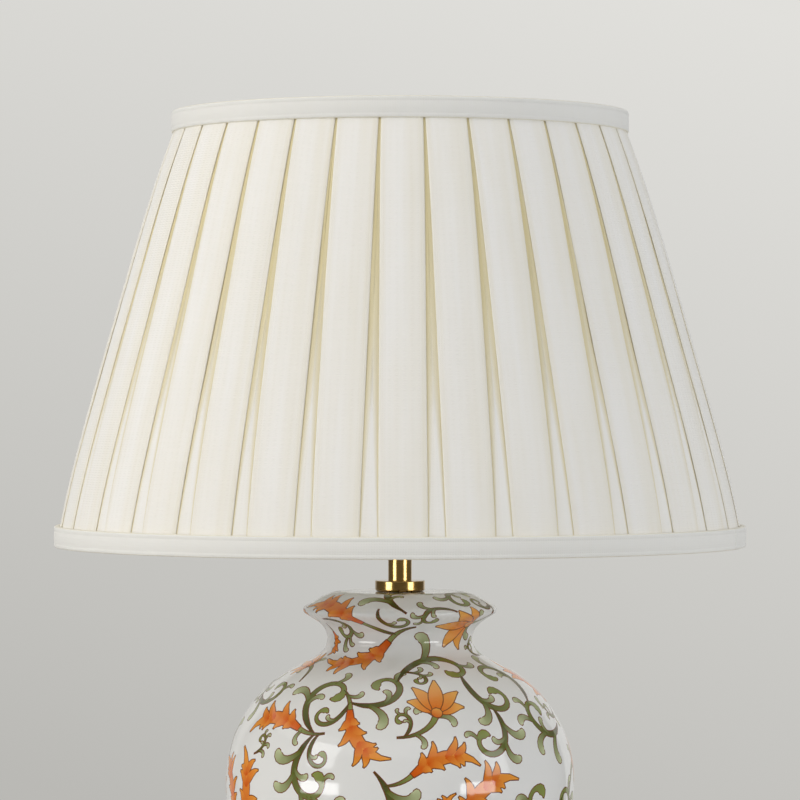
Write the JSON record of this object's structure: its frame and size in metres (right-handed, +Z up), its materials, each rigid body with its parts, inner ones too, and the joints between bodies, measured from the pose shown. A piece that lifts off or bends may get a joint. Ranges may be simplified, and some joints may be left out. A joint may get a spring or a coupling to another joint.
{
  "type": "table lamp",
  "caption": "Table lamp with a glazed porcelain jar base, brass cap and neck, switched lampholder, bulb and a box-pleated fabric empire shade on a wire frame.",
  "frame": {"origin": "centre of the foot, on the surface that the lamp stands on", "axes": "+Z up along the lamp's axis, -Y to the front, cord inlet at +Y, switch bar along X"},
  "size_m": [0.43, 0.43, 0.5801],
  "materials": {
    "porcelain": "gloss",
    "brass": "polished",
    "steel": "zinc plated",
    "white_wire": "matt",
    "cover_cloth": "woven",
    "trim_cloth": "woven",
    "lining_cloth": "woven",
    "felt": "felted",
    "insulator": "satin",
    "black_plastic": "moulded",
    "brown_plastic": "moulded",
    "opal_plastic": "opal",
    "white_plastic": "moulded",
    "bulb_metal": "drawn",
    "gasket_rubber": "moulded"
  },
  "bodies": {
    "base": {"felt_pad": "felt", "jar_body": "porcelain", "cord_bush": "black_plastic", "base_plate": "steel", "lock_washer": "steel", "rod_nut": "brass", "tie_rod": "steel", "cap_gasket": "gasket_rubber", "jar_cap": "brass", "neck_tube": "brass", "holder_base": "brass", "grub_screw": "steel", "holder_shell": "brass", "holder_insert": "insulator", "terminal_screws": "brass", "screw_shell": "brass", "centre_contact": "brass", "lower_shade_ring": "brass"},
    "switch": {"switch_bar": "brown_plastic", "switch_buttons": "brown_plastic"},
    "bulb": {"bulb_tip": "bulb_metal", "bulb_insulator": "black_plastic", "bulb_cap": "bulb_metal", "bulb_housing": "white_plastic", "light_board": "bulb_metal", "bulb_globe": "opal_plastic"},
    "ring_nut": {"upper_shade_ring": "brass"},
    "shade": {"bottom_ring": "white_wire", "top_ring": "white_wire", "frame_struts": "white_wire", "fitter_ring": "white_wire", "fitter_arms": "white_wire", "shade_lining": "lining_cloth", "pleated_cover": "cover_cloth", "bottom_trim": "trim_cloth", "top_trim": "trim_cloth"}
  },
  "joints": [
    {"name": "switch_push", "type": "slide", "parent": "base", "child": "switch", "axis": [1, 0, 0], "range_m": [0, 0.006]},
    {"name": "bulb_turn", "type": "hinge", "parent": "base", "child": "bulb", "pos_m": [0, 0, 0.358], "axis": [0, 0, 1], "continuous": true},
    {"name": "ring_nut_turn", "type": "hinge", "parent": "base", "child": "ring_nut", "pos_m": [0, 0, 0.358], "axis": [0, 0, 1], "continuous": true},
    {"name": "shade_turn", "type": "hinge", "parent": "base", "child": "shade", "pos_m": [0, 0, 0.358], "axis": [0, 0, 1], "continuous": true}
  ]
}
